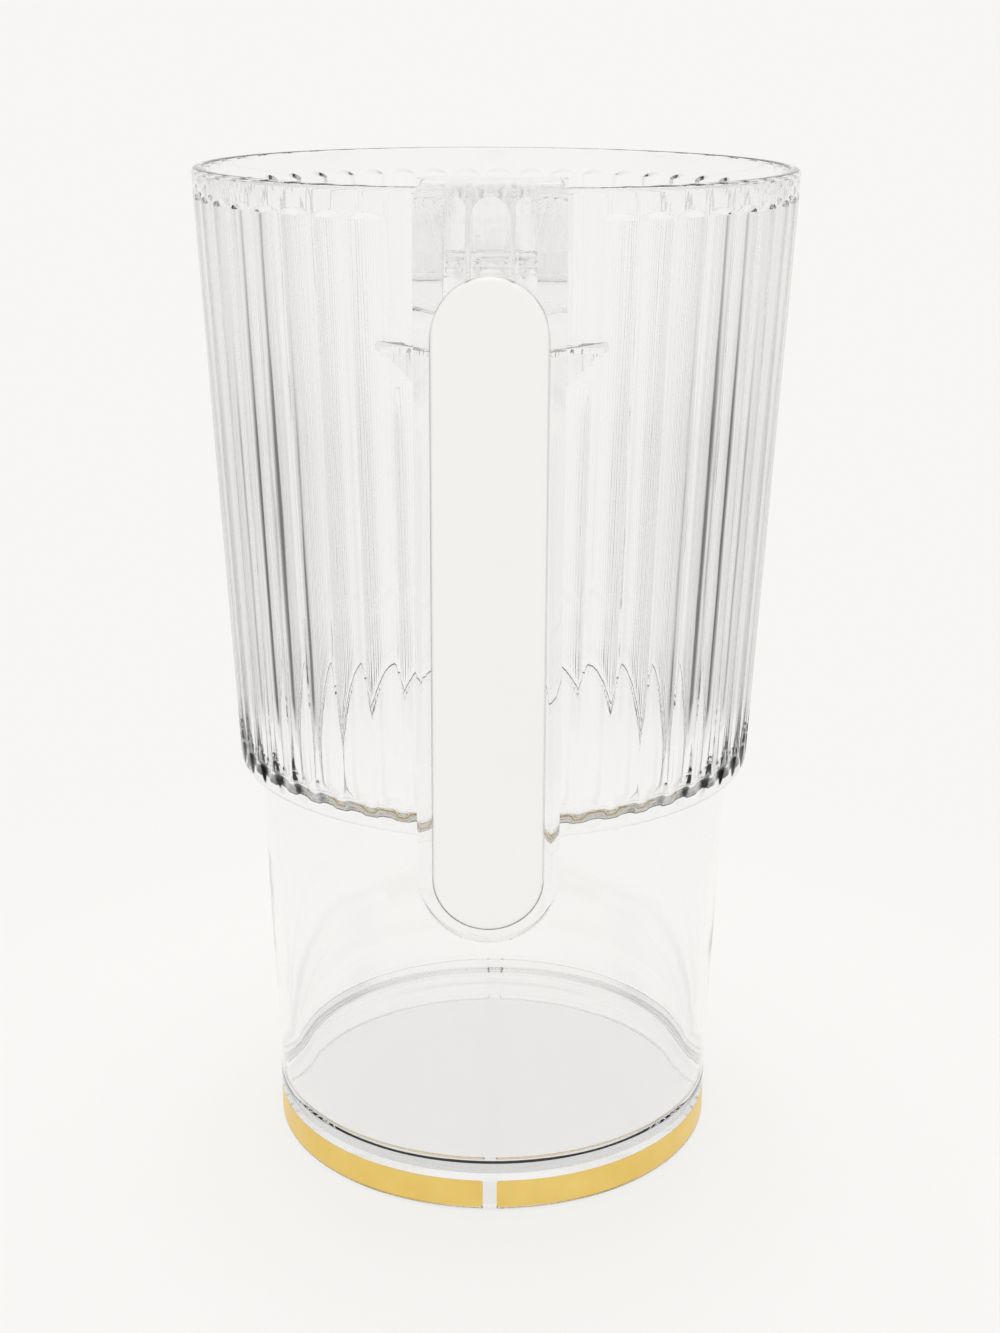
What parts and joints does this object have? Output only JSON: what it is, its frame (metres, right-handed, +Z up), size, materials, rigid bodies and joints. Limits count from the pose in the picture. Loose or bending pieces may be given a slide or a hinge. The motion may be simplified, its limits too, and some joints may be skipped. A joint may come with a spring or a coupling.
{
  "type": "beer pitcher",
  "caption": "Clear moulded beer pitcher with a fluted upper wall that steps in to a smooth lower wall, a hook-over handle with a plain plaque, and gold foil round the front half of the foot.",
  "frame": {"origin": "on the jug's axis, at the table that the foot stands on", "axes": "+Z up the jug's axis, the handle on the -Y side, +X to the right as the handle faces the viewer"},
  "size_m": [0.13, 0.1612, 0.2268],
  "materials": {
    "clear_plastic": "clear, polished",
    "badge_white": "gloss",
    "gold_foil": "satin foil"
  },
  "bodies": {
    "root": {"pitcher_body": "clear_plastic", "handle_frame": "clear_plastic", "handle_badge": "badge_white", "gold_band_left": "gold_foil", "gold_band_right": "gold_foil"}
  },
  "joints": []
}
